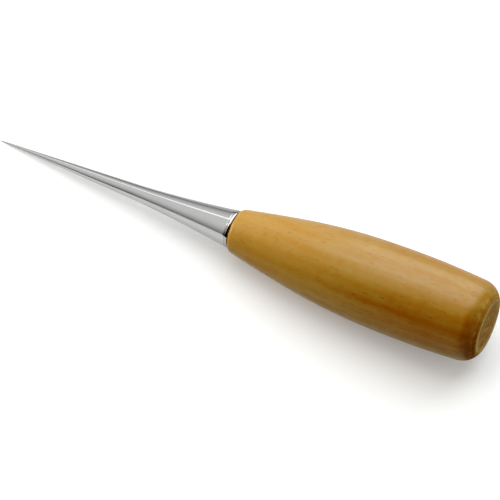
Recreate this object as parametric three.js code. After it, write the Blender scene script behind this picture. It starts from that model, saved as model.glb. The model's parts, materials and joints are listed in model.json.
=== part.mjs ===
// A scratch awl for leather: a tapered steel spike, held by its tang in a turned hardwood handle.
//
// Every piece is round about the tool's axis. An outline is a list of points (radius, station),
// where the station is the distance from the tip, measured along the axis. The tool lies on the
// plane z = 0 as it does on a bench, on its tip and on the widest part of its handle, with the tip
// towards -X and the butt towards +X. All lengths are in millimetres and all angles in radians.

import * as THREE from 'three';

// ---- Driving dimensions -------------------------------------------------------------------------

const OVERALL_LENGTH = 165;

// Handle: a barrel with a rounded nose in front and a flat butt face behind.
const HANDLE_LENGTH = 82.6;
const HANDLE_RADIUS = 13.2;
const WIDEST_FROM_BUTT = 25;
const NOSE_FACE_RADIUS = 5.5;
const NOSE_ROUNDING = 1.5;
const NOSE_FLARE_ANGLE = THREE.MathUtils.degToRad(11.3);
const REAR_TAPER_ANGLE = THREE.MathUtils.degToRad(4.5);
const REAR_RADIUS = 12.4;
const BUTT_ROUNDING = 6;
const BUTT_FACE_RADIUS = 8.8;

// How far the barrel's curve runs straight on at the nose and at its widest part.
const NOSE_PULL = 24;
const WIDEST_PULL = 22;

// The dimple that the lathe's centre leaves in the butt face.
const DIMPLE_RADIUS = 0.9;
const DIMPLE_DEPTH = 0.7;

// Spike: a slim cone that flares out to a shoulder, with a grooved tang behind it.
const TIP_RADIUS = 0.16;
const CONE_LENGTH = 48;
const CONE_RADIUS = 2.5;
const CONE_PULL = 5;
const FLARE_CONTROL_RADIUS = 3.8;
const FLARE_CONTROL_FROM_SHOULDER = 15;
const SHOULDER_RADIUS = 5.9;
const SHOULDER_CHAMFER = 0.15;
const TANG_RADIUS = 2.8;
const TANG_LENGTH = 42;
const TANG_CHAMFER = 0.8;
const GROOVE_COUNT = 5;
const GROOVE_PITCH = 6;
const GROOVE_WIDTH = 1.8;
const GROOVE_DEPTH = 0.4;
const FIRST_GROOVE_FROM_SHOULDER = 10;

// Collar ring: a thin washer clamped between the shoulder and the handle's nose. It is flush with
// the shoulder in front, and its back edge is rounded.
const COLLAR_WIDTH = 0.8;
const COLLAR_ROUNDING = 0.7;
const COLLAR_CLEARANCE = 0.3;

// Bore: a drilled blind hole that holds the tang and its bed of adhesive.
const BORE_RADIUS = 3.7;
const BORE_END_GAP = 1.7;
const DRILL_POINT_ANGLE = THREE.MathUtils.degToRad(118);
const ADHESIVE_SETBACK = 0.6;

// Clearance kept between neighbouring pieces, along the axis and across it.
const AXIAL_GAP = 0.2;
const RADIAL_GAP = 0.2;

// Facets round the axis. The number is even, so one facet can face straight down, and small enough
// for that facet to be a steady foot.
const FACETS = 24;

// ---- Stations worked out from the driving dimensions --------------------------------------------

const NOSE_STATION = OVERALL_LENGTH - HANDLE_LENGTH;
const WIDEST_STATION = OVERALL_LENGTH - WIDEST_FROM_BUTT;
const COLLAR_BACK = NOSE_STATION - AXIAL_GAP;
const COLLAR_FRONT = COLLAR_BACK - COLLAR_WIDTH;
const SHOULDER_STATION = COLLAR_FRONT - AXIAL_GAP;
const TANG_END = SHOULDER_STATION + TANG_LENGTH;
const BORE_WALL_END = TANG_END + BORE_END_GAP;

// ---- Outlines -----------------------------------------------------------------------------------

function point(radius, station) {
  return new THREE.Vector2(radius, station);
}

// A circular arc in the outline plane. An angle of zero points away from the axis, and a right
// angle points towards the butt.
function arc(centre, radius, startAngle, endAngle, steps) {
  return new THREE.EllipseCurve(centre.x, centre.y, radius, radius, startAngle, endAngle).getPoints(steps);
}

// The depth of a drill's conical point in a hole of the given radius.
function drillPointDepth(radius) {
  return radius / Math.tan(DRILL_POINT_ANGLE / 2);
}

// The handle's outside, from the inner edge of its nose rounding to the edge of its butt face.
function barrelOutline() {
  const noseCentre = point(NOSE_FACE_RADIUS, NOSE_STATION + NOSE_ROUNDING);
  const nose = arc(noseCentre, NOSE_ROUNDING, -Math.PI / 2, -NOSE_FLARE_ANGLE, 5);

  const noseEnd = nose.at(-1);
  const barrel = new THREE.CubicBezierCurve(
    noseEnd,
    point(noseEnd.x + NOSE_PULL * Math.tan(NOSE_FLARE_ANGLE), noseEnd.y + NOSE_PULL),
    point(HANDLE_RADIUS, WIDEST_STATION - WIDEST_PULL),
    point(HANDLE_RADIUS, WIDEST_STATION),
  ).getPoints(14);

  const cornerRadius = REAR_RADIUS - BUTT_ROUNDING * Math.cos(REAR_TAPER_ANGLE);
  const faceAngle = Math.acos((BUTT_FACE_RADIUS - cornerRadius) / BUTT_ROUNDING);
  const cornerCentre = point(cornerRadius, OVERALL_LENGTH - BUTT_ROUNDING * Math.sin(faceAngle));
  const corner = arc(cornerCentre, BUTT_ROUNDING, REAR_TAPER_ANGLE, faceAngle, 9);

  const rearEnd = corner[0];
  const taperStart = rearEnd.y - (HANDLE_RADIUS - rearEnd.x) / Math.tan(REAR_TAPER_ANGLE);
  const rear = new THREE.QuadraticBezierCurve(
    point(HANDLE_RADIUS, WIDEST_STATION),
    point(HANDLE_RADIUS, taperStart),
    rearEnd,
  ).getPoints(6);

  return [...nose, ...barrel.slice(1), ...rear.slice(1), ...corner.slice(1)];
}

// The spike's blade, from its rounded tip to its shoulder.
function bladeOutline() {
  const tip = arc(point(0, TIP_RADIUS), TIP_RADIUS, -Math.PI / 2, 0, 3);
  const coneSlope = (CONE_RADIUS - TIP_RADIUS) / (CONE_LENGTH - TIP_RADIUS);
  const flare = new THREE.CubicBezierCurve(
    point(CONE_RADIUS, CONE_LENGTH),
    point(CONE_RADIUS + CONE_PULL * coneSlope, CONE_LENGTH + CONE_PULL),
    point(FLARE_CONTROL_RADIUS, SHOULDER_STATION - FLARE_CONTROL_FROM_SHOULDER),
    point(SHOULDER_RADIUS, SHOULDER_STATION - SHOULDER_CHAMFER),
  ).getPoints(12);
  return [...tip, ...flare];
}

// The grip grooves round the tang. Each has a flat floor and two sloping walls.
function grooveOutline() {
  const floorRadius = TANG_RADIUS - GROOVE_DEPTH;
  const points = [];
  for (let groove = 0; groove < GROOVE_COUNT; groove += 1) {
    const start = SHOULDER_STATION + FIRST_GROOVE_FROM_SHOULDER + groove * GROOVE_PITCH;
    const end = start + GROOVE_WIDTH;
    points.push(point(TANG_RADIUS, start));
    points.push(point(floorRadius, start + GROOVE_DEPTH));
    points.push(point(floorRadius, end - GROOVE_DEPTH));
    points.push(point(TANG_RADIUS, end));
  }
  return points;
}

// ---- Pieces -------------------------------------------------------------------------------------

// Turns an outline about the axis into a named mesh. The start angle puts the middle of a facet,
// and not an edge, on the underside.
function turnedPiece(name, outline, material) {
  const geometry = new THREE.LatheGeometry(outline, FACETS, Math.PI / FACETS, 2 * Math.PI);
  const mesh = new THREE.Mesh(geometry, material);
  mesh.name = name;
  return mesh;
}

function makeHandle() {
  const outline = [
    point(0, BORE_WALL_END + drillPointDepth(BORE_RADIUS)),
    point(BORE_RADIUS, BORE_WALL_END),
    point(BORE_RADIUS, NOSE_STATION),
    ...barrelOutline(),
    point(DIMPLE_RADIUS, OVERALL_LENGTH),
    point(0, OVERALL_LENGTH - DIMPLE_DEPTH),
  ];
  const lacqueredWood = new THREE.MeshStandardMaterial({
    color: 0xbd8436,
    roughness: 0.32,
    metalness: 0,
  });
  return turnedPiece('handle', outline, lacqueredWood);
}

function makeSpike() {
  const outline = [
    ...bladeOutline(),
    point(SHOULDER_RADIUS - SHOULDER_CHAMFER, SHOULDER_STATION),
    point(TANG_RADIUS, SHOULDER_STATION),
    ...grooveOutline(),
    point(TANG_RADIUS, TANG_END - TANG_CHAMFER),
    point(TANG_RADIUS - TANG_CHAMFER, TANG_END),
    point(0, TANG_END),
  ];
  const polishedSteel = new THREE.MeshStandardMaterial({
    color: 0xc9cbcc,
    roughness: 0.16,
    metalness: 1,
  });
  return turnedPiece('spike', outline, polishedSteel);
}

function makeCollarRing() {
  const innerRadius = TANG_RADIUS + COLLAR_CLEARANCE;
  const edgeCentre = point(SHOULDER_RADIUS - COLLAR_ROUNDING, COLLAR_BACK - COLLAR_ROUNDING);
  const outline = [
    point(innerRadius, COLLAR_BACK),
    point(innerRadius, COLLAR_FRONT),
    point(SHOULDER_RADIUS, COLLAR_FRONT),
    ...arc(edgeCentre, COLLAR_ROUNDING, 0, Math.PI / 2, 6),
    point(innerRadius, COLLAR_BACK),
  ];
  const brightSteel = new THREE.MeshStandardMaterial({
    color: 0xd3d4d4,
    roughness: 0.1,
    metalness: 1,
  });
  return turnedPiece('collar_ring', outline, brightSteel);
}

function makeTangAdhesive() {
  const innerRadius = TANG_RADIUS + RADIAL_GAP;
  const outerRadius = BORE_RADIUS - RADIAL_GAP;
  const mouth = NOSE_STATION + ADHESIVE_SETBACK;
  const outerWallEnd = BORE_WALL_END - RADIAL_GAP;
  const outline = [
    point(0, TANG_END + AXIAL_GAP),
    point(innerRadius, TANG_END + AXIAL_GAP),
    point(innerRadius, mouth),
    point(outerRadius, mouth),
    point(outerRadius, outerWallEnd),
    point(0, outerWallEnd + drillPointDepth(outerRadius)),
  ];
  const curedResin = new THREE.MeshStandardMaterial({
    color: 0xc8a860,
    roughness: 0.45,
    metalness: 0,
  });
  return turnedPiece('tang_adhesive', outline, curedResin);
}

// ---- Assembly -----------------------------------------------------------------------------------

// The angle between the axis and the bench when the tool lies at rest. The bench touches the tip
// and the barrel, so it is the steepest line from the tip to the barrel's outline. The faceted
// pieces touch it with the middle of a facet, where the radius is a little smaller.
function restAngle() {
  const facetFactor = Math.cos(Math.PI / FACETS);
  const tilts = barrelOutline().map(
    (edge) => Math.atan2(facetFactor * (edge.x - TIP_RADIUS), edge.y - TIP_RADIUS),
  );
  return Math.max(...tilts);
}

// The lathe axis is local +Y. It turns to +X, and then its butt end lifts by the rest angle.
const tool = new THREE.Group();
tool.add(makeHandle(), makeSpike(), makeCollarRing(), makeTangAdhesive());
tool.rotation.set(0, -restAngle(), -Math.PI / 2);

// The origin is on the bench, under the middle of the tool's box.
const awl = new THREE.Group();
awl.add(tool);
awl.updateMatrixWorld(true);
const box = new THREE.Box3().setFromObject(awl, true);
const middle = box.getCenter(new THREE.Vector3());
tool.position.set(-middle.x, -middle.y, -box.min.z);

export default awl;
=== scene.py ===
"""A scratch awl lying on a pale bench under soft studio light.

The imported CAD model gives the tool's place, its direction and its length. Each CAD piece is
replaced by a finely turned mesh with a procedural material. It has the CAD piece's outline, apart
from narrower gaps between the pieces. Lengths in the outlines are millimetres, as in the CAD
source, and Blender's own lengths are metres.
"""

import json
import math

import bpy
from mathutils import Matrix, Vector


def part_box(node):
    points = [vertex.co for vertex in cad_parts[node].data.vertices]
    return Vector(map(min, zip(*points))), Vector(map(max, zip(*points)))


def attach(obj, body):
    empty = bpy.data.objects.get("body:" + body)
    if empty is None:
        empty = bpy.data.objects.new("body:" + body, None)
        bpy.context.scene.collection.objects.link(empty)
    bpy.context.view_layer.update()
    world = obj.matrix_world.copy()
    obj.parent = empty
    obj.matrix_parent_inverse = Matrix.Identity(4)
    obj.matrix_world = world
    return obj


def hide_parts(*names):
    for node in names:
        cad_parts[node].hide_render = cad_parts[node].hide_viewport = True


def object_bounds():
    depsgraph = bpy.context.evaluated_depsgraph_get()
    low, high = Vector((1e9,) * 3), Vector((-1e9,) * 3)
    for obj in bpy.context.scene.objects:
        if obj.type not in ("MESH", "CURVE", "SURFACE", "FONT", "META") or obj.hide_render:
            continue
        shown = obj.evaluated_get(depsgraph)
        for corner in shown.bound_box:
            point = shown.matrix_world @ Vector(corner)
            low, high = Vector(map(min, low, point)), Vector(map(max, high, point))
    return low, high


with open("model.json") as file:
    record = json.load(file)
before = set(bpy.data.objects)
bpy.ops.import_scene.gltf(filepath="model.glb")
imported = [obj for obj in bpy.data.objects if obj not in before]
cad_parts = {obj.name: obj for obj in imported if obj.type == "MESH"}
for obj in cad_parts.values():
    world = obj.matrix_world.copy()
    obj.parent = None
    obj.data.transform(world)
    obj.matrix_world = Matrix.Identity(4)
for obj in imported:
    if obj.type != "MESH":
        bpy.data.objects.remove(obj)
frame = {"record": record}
cad_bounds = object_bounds()

MM = 0.001

# ---- Driving dimensions, in millimetres ----------------------------------------------------------

HANDLE_LENGTH = 82.6
HANDLE_RADIUS = 13.2
WIDEST_FROM_BUTT = 25.0
NOSE_FACE_RADIUS = 5.5
NOSE_ROUNDING = 1.5
NOSE_FLARE_ANGLE = math.radians(11.3)
REAR_TAPER_ANGLE = math.radians(4.5)
REAR_RADIUS = 12.4
BUTT_ROUNDING = 6.0
BUTT_FACE_RADIUS = 8.8
NOSE_PULL = 24.0
WIDEST_PULL = 22.0
DIMPLE_RADIUS = 0.9
DIMPLE_DEPTH = 0.7

TIP_RADIUS = 0.16
CONE_LENGTH = 48.0
CONE_RADIUS = 2.5
CONE_PULL = 5.0
FLARE_CONTROL_RADIUS = 3.8
FLARE_CONTROL_FROM_SHOULDER = 15.0
SHOULDER_RADIUS = 5.9
SHOULDER_FILLET = 0.05
TANG_RADIUS = 2.8
TANG_LENGTH = 42.0
TANG_CHAMFER = 0.8
GROOVE_COUNT = 5
GROOVE_PITCH = 6.0
GROOVE_WIDTH = 1.8
GROOVE_DEPTH = 0.4
FIRST_GROOVE_FROM_SHOULDER = 10.0

COLLAR_WIDTH = 0.8
COLLAR_ROUNDING = 0.7
COLLAR_CLEARANCE = 0.3

BORE_RADIUS = 3.7
BORE_END_GAP = 1.7
DRILL_POINT_ANGLE = math.radians(118)
ADHESIVE_SETBACK = 0.6

# The CAD solids keep this gap along the axis. The fine meshes close most of it.
CAD_GAP = 0.2
CONTACT_GAP = 0.02

RIGHT_ANGLE = math.pi / 2
SEGMENTS = 192
SHARP_ANGLE = math.radians(28)

# How many straight steps each stretch of an outline has.
TIP_STEPS = 6
CONE_STEPS = 40
FLARE_STEPS = 60
FILLET_STEPS = 5
COLLAR_EDGE_STEPS = 24
BORE_STEPS = 8
NOSE_STEPS = 12
BARREL_STEPS = 72
REAR_STEPS = 24
CORNER_STEPS = 28
FACE_STEPS = 10

# ---- Where the tool lies, from the CAD frame -----------------------------------------------------

butt_mount = next(m for m in frame["record"]["mounts"] if m["name"] == "butt_face")
axis = Vector(butt_mount["axis"]).normalized()
butt = Vector((butt_mount["pos_m"][0], 0.0, butt_mount["pos_m"][2]))
tip_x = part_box("spike")[0].x
overall_length = (butt.x - tip_x) / axis.x / MM
tip = butt - axis * (overall_length * MM)
middle = (tip + butt) / 2
turn = axis.to_track_quat("Z", "Y")
tool_place = Matrix.Translation(tip) @ turn.to_matrix().to_4x4()

NOSE_STATION = overall_length - HANDLE_LENGTH
COLLAR_BACK = NOSE_STATION - CAD_GAP
COLLAR_FRONT = COLLAR_BACK - COLLAR_WIDTH
SHOULDER_STATION = COLLAR_FRONT - CAD_GAP
TANG_END = SHOULDER_STATION + TANG_LENGTH
BORE_WALL_END = TANG_END + BORE_END_GAP

# ---- Outlines: lists of (radius, station) points -------------------------------------------------


def arc(centre, radius, start, end, steps):
    """Points on a circular arc. Angle 0 points away from the axis, and a right angle to the butt."""
    angles = [start + (end - start) * i / steps for i in range(steps + 1)]
    return [(centre[0] + radius * math.cos(a), centre[1] + radius * math.sin(a)) for a in angles]


def bezier(controls, steps):
    """Points on a Bezier curve of any degree."""
    degree = len(controls) - 1
    points = []
    for i in range(steps + 1):
        t = i / steps
        weights = [math.comb(degree, k) * t**k * (1 - t) ** (degree - k) for k in range(degree + 1)]
        points.append(tuple(sum(w * c[j] for w, c in zip(weights, controls)) for j in (0, 1)))
    return points


def line(start, end, steps):
    """Points along a straight line, with both of its ends."""
    return bezier([start, end], steps)


def drill_point_depth(radius):
    return radius / math.tan(DRILL_POINT_ANGLE / 2)


def barrel_outline():
    """The handle's outside, from its nose face to its butt face."""
    nose_centre = (NOSE_FACE_RADIUS, NOSE_STATION + NOSE_ROUNDING)
    nose = arc(nose_centre, NOSE_ROUNDING, -RIGHT_ANGLE, -NOSE_FLARE_ANGLE, NOSE_STEPS)
    nose_end = nose[-1]
    widest = (HANDLE_RADIUS, overall_length - WIDEST_FROM_BUTT)
    flare_control = (nose_end[0] + NOSE_PULL * math.tan(NOSE_FLARE_ANGLE), nose_end[1] + NOSE_PULL)
    widest_control = (HANDLE_RADIUS, widest[1] - WIDEST_PULL)
    barrel = bezier([nose_end, flare_control, widest_control, widest], BARREL_STEPS)

    corner_radius = REAR_RADIUS - BUTT_ROUNDING * math.cos(REAR_TAPER_ANGLE)
    face_angle = math.acos((BUTT_FACE_RADIUS - corner_radius) / BUTT_ROUNDING)
    corner_centre = (corner_radius, overall_length - BUTT_ROUNDING * math.sin(face_angle))
    corner = arc(corner_centre, BUTT_ROUNDING, REAR_TAPER_ANGLE, face_angle, CORNER_STEPS)
    rear_end = corner[0]
    taper_start = rear_end[1] - (HANDLE_RADIUS - rear_end[0]) / math.tan(REAR_TAPER_ANGLE)
    rear = bezier([widest, (HANDLE_RADIUS, taper_start), rear_end], REAR_STEPS)
    return nose + barrel[1:] + rear[1:] + corner[1:]


def handle_outline():
    """The barrel with its blind bore, and the lathe-centre dimple in its butt face."""
    bore_mouth = (BORE_RADIUS, NOSE_STATION)
    bore_end = (BORE_RADIUS, BORE_WALL_END)
    face_edge = (BUTT_FACE_RADIUS, overall_length)
    dimple_edge = (DIMPLE_RADIUS, overall_length)
    return [
        (0, BORE_WALL_END + drill_point_depth(BORE_RADIUS)),
        *line(bore_end, bore_mouth, BORE_STEPS),
        *barrel_outline()[:-1],
        *line(face_edge, dimple_edge, FACE_STEPS),
        (0, overall_length - DIMPLE_DEPTH),
    ]


def spike_outline():
    """The blade, from its tip along the cone and the flare to the shoulder, and then the tang."""
    cone_slope = (CONE_RADIUS - TIP_RADIUS) / (CONE_LENGTH - TIP_RADIUS)
    tip_arc = arc((0, TIP_RADIUS), TIP_RADIUS, -RIGHT_ANGLE, 0, TIP_STEPS)
    flare = bezier(
        [
            (CONE_RADIUS, CONE_LENGTH),
            (CONE_RADIUS + CONE_PULL * cone_slope, CONE_LENGTH + CONE_PULL),
            (FLARE_CONTROL_RADIUS, SHOULDER_STATION - FLARE_CONTROL_FROM_SHOULDER),
            (SHOULDER_RADIUS, SHOULDER_STATION - SHOULDER_FILLET),
        ],
        FLARE_STEPS,
    )
    fillet_centre = (SHOULDER_RADIUS - SHOULDER_FILLET, SHOULDER_STATION - SHOULDER_FILLET)
    fillet = arc(fillet_centre, SHOULDER_FILLET, 0, RIGHT_ANGLE, FILLET_STEPS)
    cone = line(tip_arc[-1], flare[0], CONE_STEPS)
    return [
        (0, 0),
        *tip_arc[1:],
        *cone[1:],
        *flare[1:],
        *fillet[1:],
        (TANG_RADIUS, SHOULDER_STATION),
        *groove_outline(TANG_RADIUS),
        (TANG_RADIUS, TANG_END - TANG_CHAMFER),
        (TANG_RADIUS - TANG_CHAMFER, TANG_END),
        (0, TANG_END),
    ]


def groove_outline(land_radius):
    """The tang's grip grooves, from the first to the last, cut into lands of the given radius."""
    floor_radius = land_radius - GROOVE_DEPTH
    points = []
    for groove in range(GROOVE_COUNT):
        start = SHOULDER_STATION + FIRST_GROOVE_FROM_SHOULDER + groove * GROOVE_PITCH
        end = start + GROOVE_WIDTH
        points += [(land_radius, start), (floor_radius, start + GROOVE_DEPTH)]
        points += [(floor_radius, end - GROOVE_DEPTH), (land_radius, end)]
    return points


def collar_outline():
    """A thin washer, flush with the shoulder, with its back edge rounded. It fills the space
    between the shoulder and the nose."""
    inner = TANG_RADIUS + COLLAR_CLEARANCE
    front = SHOULDER_STATION + CONTACT_GAP
    back = NOSE_STATION - CONTACT_GAP
    fillet_centre = (SHOULDER_RADIUS - SHOULDER_FILLET, front + SHOULDER_FILLET)
    edge_centre = (SHOULDER_RADIUS - COLLAR_ROUNDING, back - COLLAR_ROUNDING)
    return [
        (inner, back),
        (inner, front),
        *arc(fillet_centre, SHOULDER_FILLET, -RIGHT_ANGLE, 0, FILLET_STEPS),
        *arc(edge_centre, COLLAR_ROUNDING, 0, RIGHT_ANGLE, COLLAR_EDGE_STEPS),
    ]


def adhesive_outline():
    """A cup that fills the bore round the tang and follows the grooves of the tang."""
    inner = TANG_RADIUS + CONTACT_GAP
    outer = BORE_RADIUS - CONTACT_GAP
    mouth = NOSE_STATION + ADHESIVE_SETBACK
    grooves = groove_outline(inner)
    floor = TANG_END + CONTACT_GAP
    wall_end = BORE_WALL_END - CONTACT_GAP
    return [
        (0, floor),
        (inner - TANG_CHAMFER, floor),
        (inner, floor - TANG_CHAMFER),
        *reversed(grooves),
        (inner, mouth),
        (outer, mouth),
        (outer, wall_end),
        (0, wall_end + drill_point_depth(outer)),
    ]


# ---- Meshes --------------------------------------------------------------------------------------


def turned_mesh(name, outline, closed=False):
    """Turns an outline about the tool's axis. An end on the axis is one shared vertex, and a closed
    outline joins its last point to its first. Edges where two faces meet at a clear angle stay
    sharp."""
    vertices, rings = [], []
    for radius, station in outline:
        first = len(vertices)
        if radius == 0:
            vertices.append(tool_place @ Vector((0, 0, station * MM)))
            rings.append([first] * SEGMENTS)
            continue
        for i in range(SEGMENTS):
            angle = 2 * math.pi * i / SEGMENTS
            edge = Vector((radius * math.cos(angle), radius * math.sin(angle), station)) * MM
            vertices.append(tool_place @ edge)
        rings.append(list(range(first, first + SEGMENTS)))

    faces = []
    pairs = list(zip(rings, rings[1:])) + ([(rings[-1], rings[0])] if closed else [])
    for lower, upper in pairs:
        for i in range(SEGMENTS):
            j = (i + 1) % SEGMENTS
            corners = [lower[i], lower[j], upper[j], upper[i]]
            faces.append([c for k, c in enumerate(corners) if c != corners[k - 1]])

    mesh = bpy.data.meshes.new(name)
    mesh.from_pydata(vertices, [], faces)
    mesh.validate()
    mesh.polygons.foreach_set("use_smooth", [True] * len(mesh.polygons))
    mesh.set_sharp_from_angle(angle=SHARP_ANGLE)
    return mesh


def turned_piece(name, outline, node, material, closed=False):
    """A turned piece in its place on the tool, standing for a CAD node."""
    piece = bpy.data.objects.new(name, turned_mesh(name, outline, closed))
    bpy.context.scene.collection.objects.link(piece)
    piece.data.materials.append(material)
    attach(piece, "root")
    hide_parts(node)


# ---- Materials -----------------------------------------------------------------------------------


class Nodes:
    """A new material's node tree, with one short call for each node."""

    def __init__(self, name):
        self.material = bpy.data.materials.new(name)
        self.material.use_nodes = True
        self.tree = self.material.node_tree
        self.tree.nodes.clear()
        self.shader = self.add("ShaderNodeBsdfPrincipled")
        output = self.add("ShaderNodeOutputMaterial")
        self.tree.links.new(self.shader.outputs[0], output.inputs["Surface"])
        self.coordinates = self.add("ShaderNodeTexCoord")
        self.place = self.add(
            "ShaderNodeMapping", {"vector_type": "TEXTURE"}, Vector=self.coordinates.outputs["Object"]
        )
        self.place.inputs["Location"].default_value = tip
        self.place.inputs["Rotation"].default_value = turn.to_euler()

    def add(self, kind, settings=None, **inputs):
        """Adds a node. A socket input is linked, and any other input is a value."""
        made = self.tree.nodes.new(kind)
        for key, value in (settings or {}).items():
            setattr(made, key, value)
        for key, value in inputs.items():
            self.put(made, key.replace("_", " "), value)
        return made

    def put(self, node, socket, value):
        target = node.inputs[int(socket)] if socket.isdigit() else node.inputs[socket]
        if isinstance(value, bpy.types.NodeSocket):
            self.tree.links.new(value, target)
        else:
            target.default_value = value

    def scaled(self, scale, offset=(0, 0, 0)):
        """The tool's own coordinates, scaled and moved. Z runs along the tool from its tip."""
        mapping = self.add("ShaderNodeMapping", Vector=self.place.outputs[0])
        mapping.inputs["Scale"].default_value = scale
        mapping.inputs["Location"].default_value = offset
        return mapping.outputs[0]

    def station(self):
        """The distance from the tool's tip, in metres."""
        return self.add("ShaderNodeSeparateXYZ", Vector=self.place.outputs[0]).outputs["Z"]

    def noise(self, vector, detail=3.0, roughness=0.55):
        made = self.add(
            "ShaderNodeTexNoise",
            Vector=vector,
            Scale=1.0,
            Detail=detail,
            Roughness=roughness,
        )
        return made.outputs["Fac"]

    def math(self, operation, a, b=0.0):
        made = self.add("ShaderNodeMath", {"operation": operation})
        self.put(made, "0", a)
        self.put(made, "1", b)
        return made.outputs[0]

    def weighted_sum(self, *parts):
        """The sum of some values, each of them times its weight."""
        shares = [self.math("MULTIPLY", value, weight) for value, weight in parts]
        total = shares[0]
        for share in shares[1:]:
            total = self.math("ADD", total, share)
        return total

    def remap(self, value, low, high, to_low=0.0, to_high=1.0):
        """Moves low to to_low and high to to_high, with a smooth rise between them and no more
        change beyond them."""
        made = self.add("ShaderNodeMapRange", {"interpolation_type": "SMOOTHSTEP"}, Value=value)
        limits = {"From Min": low, "From Max": high, "To Min": to_low, "To Max": to_high}
        for socket, number in limits.items():
            made.inputs[socket].default_value = number
        return made.outputs[0]

    def blend(self, factor, a, b):
        """Colour a where the factor is 0, and colour b where it is 1."""
        made = self.add("ShaderNodeMix", {"data_type": "RGBA"})
        self.put(made, "0", factor)
        self.put(made, "6", a)
        self.put(made, "7", b)
        return made.outputs[2]

    def bump(self, height, strength, distance):
        made = self.add("ShaderNodeBump", Height=height, Strength=strength, Distance=distance)
        return made.outputs[0]

    def set(self, **inputs):
        """Sets or links the shader's own sockets."""
        for key, value in inputs.items():
            self.put(self.shader, key.replace("_", " "), value)


# Most of a noise lies between these two values.
NOISE_RANGE = (0.3, 0.7)

# ---- Lacquered wood ------------------------------------------------------------------------------

GOLDEN = (0.385, 0.242, 0.072, 1)
ORANGE = (0.355, 0.168, 0.023, 1)
NOSE_TONE = (0.5, 0.26, 0.046, 1)
STREAK_TONE = (0.33, 0.14, 0.022, 1)
PORE_TONE = (0.2, 0.08, 0.014, 1)
END_TONE = (0.56, 0.355, 0.15, 1)
END_RING_TONE = (0.34, 0.2, 0.075, 1)
# The pale tone of the painted highlight round the butt face's rim.
RIM_HIGHLIGHT_TONE = (0.8, 0.58, 0.3, 1)

# Noise cells in a metre: the first two numbers are across the tool, and the third is along it.
BEND_GRAIN = (45, 45, 9)
BROAD_GRAIN = (75, 75, 22)
FIBRE_GRAIN = (1000, 1000, 30)
RIPPLE_GRAIN = (150, 150, 330)
FLECK_GRAIN = (900, 900, 420)
PORE_GRAIN = (1900, 1900, 380)
SPECKLE_GRAIN = (650, 650, 650)
FLOW_GRAIN = (420, 420, 160)
ORANGE_PEEL_GRAIN = (1100, 1100, 700)
TURNING_GRAIN = 900.0

# The growth rings lie round a pith beside the handle and hardly change along it.
PITH_OFFSET = (0.034, 0.021, 0)
RING_STRETCH = (1, 1, 0.03)
RING_FREQUENCY = 85.0
RING_BEND = 5.0
RING_DISTORTION = 4.0
RING_DETAIL = 2.0
RING_DETAIL_SCALE = 0.35

# How much each kind of figure adds to the tone, and the tones that are fully golden and orange.
RING_WEIGHT = 0.16
BROAD_WEIGHT = 0.75
FIBRE_WEIGHT = 0.35
RIPPLE_WEIGHT = 0.3
FLECK_WEIGHT = 0.35
TONE_RANGE = (0.65, 1.28)

# The nose is lighter and more orange. Its share fades between these stations, in metres from the tip.
NOSE_FADE = (0.082, 0.14)
NOSE_SHARE = 0.42
STREAK_RANGE = (0.6, 0.8)
STREAK_SHARE = 0.22
PORE_RANGE = (0.62, 0.74)
PORE_SHARE = 0.4

# End grain. A facing of 1 looks straight along the tool, and a facing of 0 straight across it.
END_FACING = (0.3, 0.9)
END_SHARE = 0.9
SPECKLE_RANGE = (0.4, 0.65)
TURNING_RANGE = (0.42, 0.6)
END_MARK_SHARE = 0.7
END_RING_SHARE = 0.3
# A painted highlight: a pale arc near the edge of the flat butt face, broken up by noise.
RIM_START = 0.006
RIM_FACING = (0.985, 0.998)
RIM_HIGHLIGHT_RANGE = (0.38, 0.58)

WOOD_ROUGHNESS = (0.5, 0.6)
END_ROUGHNESS = 0.25
WOOD_SPECULAR = 0.45
WOOD_BUMP_STRENGTH = 0.25
WOOD_BUMP_DISTANCE = 0.00005
FIBRE_HEIGHT = 0.6
PORE_HEIGHT = -0.5

# The lacquer's share of the shine: most of it on the barrel, and little on the thirsty end grain.
COAT_FACING = (0.25, 0.8)
BARREL_COAT = 0.75
END_COAT = 0.15
COAT_ROUGHNESS = 0.32
COAT_IOR = 1.5
COAT_BUMP_STRENGTH = 0.45
COAT_BUMP_DISTANCE = 0.0002
ORANGE_PEEL_WEIGHT = 0.35


def growth_rings(n):
    """The growth rings show as long stripes, because their pith lies well outside the handle."""
    bend = n.noise(n.scaled(BEND_GRAIN), detail=2.0)
    waves = n.add(
        "ShaderNodeTexWave",
        {"wave_type": "RINGS", "rings_direction": "Z", "wave_profile": "SIN"},
        Vector=n.scaled(RING_STRETCH, offset=PITH_OFFSET),
        Scale=RING_FREQUENCY,
        Distortion=RING_DISTORTION,
        Detail=RING_DETAIL,
        Detail_Scale=RING_DETAIL_SCALE,
        Phase_Offset=n.math("MULTIPLY", bend, RING_BEND),
    )
    return waves.outputs["Fac"]


def side_grain(n, rings, broad, fibres, pore_mask):
    """The colour of the barrel: golden to orange, lighter and more orange at the nose, with streaks and
    pores.
    """
    ripple = n.noise(n.scaled(RIPPLE_GRAIN), detail=2.0)
    fleck = n.noise(n.scaled(FLECK_GRAIN), detail=3.0)
    tone = n.weighted_sum(
        (rings, RING_WEIGHT),
        (broad, BROAD_WEIGHT),
        (fibres, FIBRE_WEIGHT),
        (ripple, RIPPLE_WEIGHT),
        (fleck, FLECK_WEIGHT),
    )
    colour = n.blend(n.remap(tone, *TONE_RANGE), GOLDEN, ORANGE)
    colour = n.blend(n.remap(n.station(), *NOSE_FADE, NOSE_SHARE, 0.0), colour, NOSE_TONE)
    colour = n.blend(n.remap(fibres, *STREAK_RANGE, 0.0, STREAK_SHARE), colour, STREAK_TONE)
    return n.blend(n.math("MULTIPLY", pore_mask, PORE_SHARE), colour, PORE_TONE)


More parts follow.
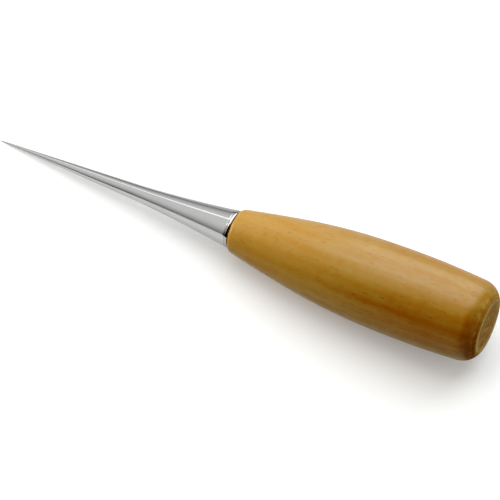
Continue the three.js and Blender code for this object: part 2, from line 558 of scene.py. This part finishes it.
def end_grain(n, rings, broad, end_facing, radius, turning):
    """The colour of the butt: speckled, ringed by turning, and a painted highlight round its rim."""
    speckle = n.noise(n.scaled(SPECKLE_GRAIN), detail=4.0)
    speckle_share = n.remap(speckle, *SPECKLE_RANGE, 0.0, END_MARK_SHARE)
    turning_share = n.remap(turning, *TURNING_RANGE, 0.0, END_MARK_SHARE)
    colour = n.blend(speckle_share, END_TONE, END_RING_TONE)
    colour = n.blend(turning_share, colour, END_RING_TONE)
    colour = n.blend(n.math("MULTIPLY", rings, END_RING_SHARE), colour, ORANGE)

    # Painted highlight: a pale arc near the edge of the flat butt face, broken up by noise.
    near_rim = n.remap(radius, RIM_START, BUTT_FACE_RADIUS * MM)
    rim = n.math("MULTIPLY", near_rim, n.remap(end_facing, *RIM_FACING))
    painted_rim_highlight = n.math("MULTIPLY", rim, n.remap(broad, *RIM_HIGHLIGHT_RANGE))
    return n.blend(painted_rim_highlight, colour, RIM_HIGHLIGHT_TONE)


def lacquered_wood():
    """Close-grained pale hardwood under a warm satin lacquer, with end grain on the butt."""
    n = Nodes("lacquered_wood")
    rings = growth_rings(n)
    broad = n.noise(n.scaled(BROAD_GRAIN), detail=3.0)
    fibres = n.noise(n.scaled(FIBRE_GRAIN), detail=4.0, roughness=0.6)
    pores = n.noise(n.scaled(PORE_GRAIN), detail=1.0)
    pore_mask = n.remap(pores, *PORE_RANGE)

    facing = n.add("ShaderNodeVectorMath", {"operation": "DOT_PRODUCT"})
    n.put(facing, "0", n.coordinates.outputs["Normal"])
    n.put(facing, "1", axis)
    end_facing = n.math("ABSOLUTE", facing.outputs["Value"])
    end_share = n.remap(end_facing, *END_FACING)
    from_axis = n.add("ShaderNodeVectorMath", {"operation": "LENGTH"}, Vector=n.scaled((1, 1, 0)))
    radius = from_axis.outputs["Value"]
    turning = n.noise(n.math("MULTIPLY", radius, TURNING_GRAIN), detail=2.0)

    side_colour = side_grain(n, rings, broad, fibres, pore_mask)
    end_colour = end_grain(n, rings, broad, end_facing, radius, turning)
    colour = n.blend(n.math("MULTIPLY", end_share, END_SHARE), side_colour, end_colour)

    wood_height = n.weighted_sum((fibres, FIBRE_HEIGHT), (pore_mask, PORE_HEIGHT), (turning, end_share))
    flow = n.noise(n.scaled(FLOW_GRAIN), detail=3.0)
    orange_peel = n.noise(n.scaled(ORANGE_PEEL_GRAIN), detail=2.0)
    coat_height = n.math("ADD", flow, n.math("MULTIPLY", orange_peel, ORANGE_PEEL_WEIGHT))
    side_roughness = n.remap(fibres, *NOISE_RANGE, *WOOD_ROUGHNESS)
    more_on_end = n.math("MULTIPLY", end_share, END_ROUGHNESS)

    n.set(
        Base_Color=colour,
        Roughness=n.math("ADD", side_roughness, more_on_end),
        Normal=n.bump(wood_height, WOOD_BUMP_STRENGTH, WOOD_BUMP_DISTANCE),
        Specular_IOR_Level=WOOD_SPECULAR,
        Coat_Weight=n.remap(end_facing, *COAT_FACING, BARREL_COAT, END_COAT),
        Coat_Roughness=COAT_ROUGHNESS,
        Coat_IOR=COAT_IOR,
        Coat_Normal=n.bump(coat_height, COAT_BUMP_STRENGTH, COAT_BUMP_DISTANCE),
    )
    return n.material


# ---- Steel, resin and the stage's matt sheet -----------------------------------------------------

STEEL_TINT = (0.5, 0.5, 0.497, 1)
STEEL_ROUGHNESS = 0.1
STEEL_LINE_DEPTH = 0.000004
RING_TINT = (0.42, 0.42, 0.42, 1)
RING_ROUGHNESS = 0.05
RING_LINE_DEPTH = 0.000002

POLISHING_GRAIN = (60, 60, 5200)
HAZE_GRAIN = (160, 160, 60)
HAZE_SHARE = 0.5
HAZE_SHADE = 0.92
LINE_ROUGHNESS = 0.05
HAZE_ROUGHNESS = 0.03
LINE_STRENGTH = 0.15

RESIN_TONE = (0.5, 0.34, 0.12, 1)
DEEP_RESIN_TONE = (0.36, 0.22, 0.06, 1)
RESIN_ROUGHNESS = (0.3, 0.45)
CLOUD_GRAIN = (220, 220, 120)
BUBBLE_GRAIN = (1200, 1200, 1200)
BUBBLE_EDGE = (0.1, 0.25)
BUBBLE_STRENGTH = 0.4
BUBBLE_DISTANCE = 0.0001

SHEET_GRAIN = (6, 6, 6)
SHEET_MOTTLE = 0.03
SHEET_ROUGHNESS = 0.9
SHEET_SPECULAR = 0.1


def polished_steel(name, tint, roughness, line_depth):
    """Bright steel with fine lines round it from turning and polishing."""
    n = Nodes(name)
    lines = n.noise(n.scaled(POLISHING_GRAIN), detail=2.0)
    haze = n.noise(n.scaled(HAZE_GRAIN), detail=2.0)
    darker = tuple(c * HAZE_SHADE for c in tint[:3]) + (1,)
    line_roughness = n.remap(lines, *NOISE_RANGE, 0.0, LINE_ROUGHNESS)
    haze_roughness = n.remap(haze, *NOISE_RANGE, 0.0, HAZE_ROUGHNESS)
    varied = n.math("ADD", line_roughness, haze_roughness)
    n.set(
        Base_Color=n.blend(n.remap(haze, *NOISE_RANGE, 0.0, HAZE_SHARE), tint, darker),
        Metallic=1.0,
        Roughness=n.math("ADD", varied, roughness),
        Normal=n.bump(lines, LINE_STRENGTH, line_depth),
    )
    return n.material


def cured_resin():
    """Amber epoxy with a few trapped bubbles."""
    n = Nodes("cured_resin")
    cloud = n.noise(n.scaled(CLOUD_GRAIN), detail=3.0)
    bubbles = n.add("ShaderNodeTexVoronoi", Vector=n.scaled(BUBBLE_GRAIN), Scale=1.0)
    bubble_mask = n.remap(bubbles.outputs["Distance"], *BUBBLE_EDGE, 1.0, 0.0)
    n.set(
        Base_Color=n.blend(n.remap(cloud, *NOISE_RANGE), RESIN_TONE, DEEP_RESIN_TONE),
        Roughness=n.remap(cloud, *NOISE_RANGE, *RESIN_ROUGHNESS),
        Normal=n.bump(bubble_mask, BUBBLE_STRENGTH, BUBBLE_DISTANCE),
    )
    return n.material


def matt_sheet(name, base, glow):
    """A matt grey or white sheet with a faint glow of its own, as a light table has."""
    n = Nodes(name)
    mottle = n.noise(n.scaled(SHEET_GRAIN), detail=3.0)
    lighter = base + SHEET_MOTTLE
    n.set(
        Base_Color=n.blend(mottle, (base, base, base, 1), (lighter, lighter, lighter, 1)),
        Roughness=SHEET_ROUGHNESS,
        Specular_IOR_Level=SHEET_SPECULAR,
        Emission_Color=(1.0, 1.0, 1.0, 1),
        Emission_Strength=glow,
    )
    return n.material


# ---- Camera --------------------------------------------------------------------------------------

CAMERA_AZIMUTH = math.radians(26.8)
CAMERA_ELEVATION = math.radians(60.6)
CAMERA_DISTANCE = 0.75
SENSOR_WIDTH = 36.0
FOCAL_LENGTH = 179.55
AIM_RIGHT = 0.00415
AIM_DOWN = 0.00595
CLIP_NEAR = 0.01
CLIP_FAR = 20.0

towards_camera = Vector(
    (
        math.sin(CAMERA_AZIMUTH) * math.cos(CAMERA_ELEVATION),
        -math.cos(CAMERA_AZIMUTH) * math.cos(CAMERA_ELEVATION),
        math.sin(CAMERA_ELEVATION),
    )
)
picture_right = Vector((math.cos(CAMERA_AZIMUTH), math.sin(CAMERA_AZIMUTH), 0.0))
picture_up = towards_camera.cross(picture_right)


def make_camera():
    data = bpy.data.cameras.new("camera")
    data.sensor_width = SENSOR_WIDTH
    data.lens = FOCAL_LENGTH
    data.clip_start = CLIP_NEAR
    data.clip_end = CLIP_FAR
    camera = bpy.data.objects.new("camera", data)
    bpy.context.scene.collection.objects.link(camera)
    aim = middle + picture_right * AIM_RIGHT - picture_up * AIM_DOWN
    camera.location = aim + towards_camera * CAMERA_DISTANCE
    camera.rotation_mode = "QUATERNION"
    camera.rotation_quaternion = (-towards_camera).to_track_quat("-Z", "Y")
    bpy.context.scene.camera = camera


# ---- Studio --------------------------------------------------------------------------------------

# Directions round the tool: "swing" turns about the tool's axis from the camera's side towards the
# top of the picture, and "lean" tips towards the tool's tip. Both are in degrees. The window is
# the bright side of the world, and the fill is the fainter glow over the butt.
WINDOW_SWING = 32
WINDOW_LEAN = 60
FADE_START = 0.2
FADE_END = 0.9
DARK_SIDE = 0.03
BRIGHT_SIDE = 1.05
FILL_SWING = 80
FILL_LEAN = -50
FILL_START = 0.5
FILL_END = 1.0
FILL_STRENGTH = 0.5
FLOOR_BOUNCE = 0.12

FLOOR_HALF_SIDE = 6.0
FLOOR_TONE = 0.8
FLOOR_GLOW = 0.2
FAR_CARD_HALF_LENGTH = 0.6
FAR_CARD_START = 0.02
FAR_CARD_WIDTH = 0.8
FAR_CARD_LIFT = 0.0005
FAR_CARD_TONE = 0.5
FAR_CARD_GLOW = 0.13

PURE_WHITE = (1, 1, 1)
COOL_WHITE = (0.96, 1.0, 1.0)
WARM_WHITE = (1.0, 0.92, 0.8)

# The tone curve, as pairs of a rendered level and the level shown for it.
DARK_LEVELS = ((0.08, 0.014), (0.2, 0.143))
FULL_WHITE = (0.92, 1.0)
COMBINED_CURVE = 3

camera_side = (towards_camera - axis * towards_camera.dot(axis)).normalized()
upper_side = camera_side.cross(axis)


def studio_direction(swing, lean):
    swing = math.radians(swing)
    lean = math.radians(lean)
    across = camera_side * math.cos(swing) + upper_side * math.sin(swing)
    return (across * math.cos(lean) - axis * math.sin(lean)).normalized()


def face_tool(light, swing, lean, distance):
    """Puts a light in a studio direction, shining at the tool, with its local X along the tool. An
    area light shines along its own negative Z."""
    direction = studio_direction(swing, lean)
    light.location = middle + direction * distance
    across = direction.cross(axis).normalized()
    along = across.cross(direction).normalized()
    rotation = Matrix((along, across, along.cross(across))).transposed()
    light.rotation_mode = "QUATERNION"
    light.rotation_quaternion = rotation.to_quaternion()


def make_light(name, swing, lean, distance, length, width, watts, colour=PURE_WHITE, mirrored=True):
    """A rectangular light that the camera doesn't see. Its length lies along the tool."""
    data = bpy.data.lights.new(name, "AREA")
    data.shape = "RECTANGLE"
    data.size = length
    data.size_y = width
    data.energy = watts
    data.color = colour
    light = bpy.data.objects.new(name, data)
    bpy.context.scene.collection.objects.link(light)
    face_tool(light, swing, lean, distance)
    light.visible_camera = False
    light.visible_glossy = mirrored


def make_rectangle(name, x_range, y_range, height, material):
    """A level rectangle of the stage. It lights no matt surface of the tool."""
    mesh = bpy.data.meshes.new(name)
    low_x, high_x = x_range
    low_y, high_y = y_range
    corners = [(low_x, low_y, 0), (high_x, low_y, 0), (high_x, high_y, 0), (low_x, high_y, 0)]
    mesh.from_pydata(corners, [], [(0, 1, 2, 3)])
    mesh.materials.append(material)
    rectangle = bpy.data.objects.new(name, mesh)
    bpy.context.scene.collection.objects.link(rectangle)
    rectangle.location.z = height
    rectangle.visible_diffuse = False
    return rectangle


def make_floor():
    side = (-FLOOR_HALF_SIDE, FLOOR_HALF_SIDE)
    sheet = matt_sheet("light_table", FLOOR_TONE, FLOOR_GLOW)
    make_rectangle("floor", side, side, cad_bounds[0].z, sheet)


def make_far_card():
    """A grey card on the floor beyond the tool. Only the polished surfaces see it."""
    card = make_rectangle(
        "far_card",
        (-FAR_CARD_HALF_LENGTH, FAR_CARD_HALF_LENGTH),
        (FAR_CARD_START, FAR_CARD_START + FAR_CARD_WIDTH),
        cad_bounds[0].z + FAR_CARD_LIFT,
        matt_sheet("grey_card", FAR_CARD_TONE, FAR_CARD_GLOW),
    )
    card.visible_camera = False
    card.visible_shadow = False


def make_world():
    """Surroundings that are bright on one side, as round a large window, and fade to dark on the
    other, with a fainter glow over the butt."""
    world = bpy.data.worlds.new("studio")
    world.use_nodes = True
    tree = world.node_tree
    background = tree.nodes["Background"]
    background.inputs["Color"].default_value = (1, 1, 1, 1)
    direction = tree.nodes.new("ShaderNodeTexCoord").outputs["Generated"]

    def glow(centre, fade_start, fade_end, dark, bright):
        """Brightness that rises from dark to bright towards a direction."""
        facing = tree.nodes.new("ShaderNodeVectorMath")
        facing.operation = "DOT_PRODUCT"
        facing.inputs[1].default_value = centre
        fade = tree.nodes.new("ShaderNodeMapRange")
        fade.interpolation_type = "SMOOTHSTEP"
        limits = {"From Min": fade_start, "From Max": fade_end, "To Min": dark, "To Max": bright}
        for socket, value in limits.items():
            fade.inputs[socket].default_value = value
        tree.links.new(direction, facing.inputs[0])
        tree.links.new(facing.outputs["Value"], fade.inputs["Value"])
        return fade.outputs[0]

    def combine(operation, *values):
        """A calculation on sockets and numbers."""
        made = tree.nodes.new("ShaderNodeMath")
        made.operation = operation
        for socket, value in zip(made.inputs, values):
            if isinstance(value, bpy.types.NodeSocket):
                tree.links.new(value, socket)
            else:
                socket.default_value = value
        return made.outputs[0]

    window_direction = studio_direction(WINDOW_SWING, WINDOW_LEAN)
    window = glow(window_direction, FADE_START, FADE_END, DARK_SIDE, BRIGHT_SIDE)
    fill = glow(studio_direction(FILL_SWING, FILL_LEAN), FILL_START, FILL_END, 0.0, FILL_STRENGTH)

    # Below the horizon there is an even glow, which is the floor's bounced light on matt surfaces.
    split = tree.nodes.new("ShaderNodeSeparateXYZ")
    tree.links.new(direction, split.inputs[0])
    below = combine("LESS_THAN", split.outputs["Z"], 0.0)
    strength = combine("MULTIPLY_ADD", below, FLOOR_BOUNCE, combine("ADD", window, fill))
    tree.links.new(strength, background.inputs["Strength"])
    bpy.context.scene.world = world


def set_contrast():
    """A print-like tone curve: darks a little deeper, whites at full white."""
    settings = bpy.context.scene.view_settings
    settings.view_transform = "Standard"
    settings.use_curve_mapping = True
    curve = settings.curve_mapping.curves[COMBINED_CURVE]
    for level, shown in DARK_LEVELS:
        curve.points.new(level, shown)
    curve.points[len(curve.points) - 1].location = FULL_WHITE
    settings.curve_mapping.update()


def make_studio():
    make_floor()
    make_far_card()
    make_world()
    make_light(
        "key_light",
        swing=65,
        lean=-5,
        distance=1.0,
        length=1.0,
        width=1.9,
        watts=12,
        colour=COOL_WHITE,
    )
    make_light(
        "tip_light",
        swing=0,
        lean=75,
        distance=1.0,
        length=0.5,
        width=0.5,
        watts=5.0,
        colour=WARM_WHITE,
    )
    make_light(
        "strip_light",
        swing=51,
        lean=28,
        distance=1.2,
        length=0.5,
        width=0.11,
        watts=0.22,
    )
    make_light(
        "front_light",
        swing=14,
        lean=13,
        distance=1.2,
        length=0.35,
        width=0.42,
        watts=0.85,
        colour=WARM_WHITE,
    )
    make_light(
        "butt_light",
        swing=-10,
        lean=-80,
        distance=1.0,
        length=0.35,
        width=0.35,
        watts=0.4,
        mirrored=False,
    )
    set_contrast()


# ---- The tool ------------------------------------------------------------------------------------


def make_awl():
    steel = polished_steel("polished_steel", STEEL_TINT, STEEL_ROUGHNESS, STEEL_LINE_DEPTH)
    bright = polished_steel("polished_ring", RING_TINT, RING_ROUGHNESS, RING_LINE_DEPTH)
    turned_piece("awl_handle", handle_outline(), "handle", lacquered_wood())
    turned_piece("awl_spike", spike_outline(), "spike", steel)
    turned_piece("awl_collar", collar_outline(), "collar_ring", bright, closed=True)
    turned_piece("awl_adhesive", adhesive_outline(), "tang_adhesive", cured_resin())


make_camera()
make_studio()
make_awl()
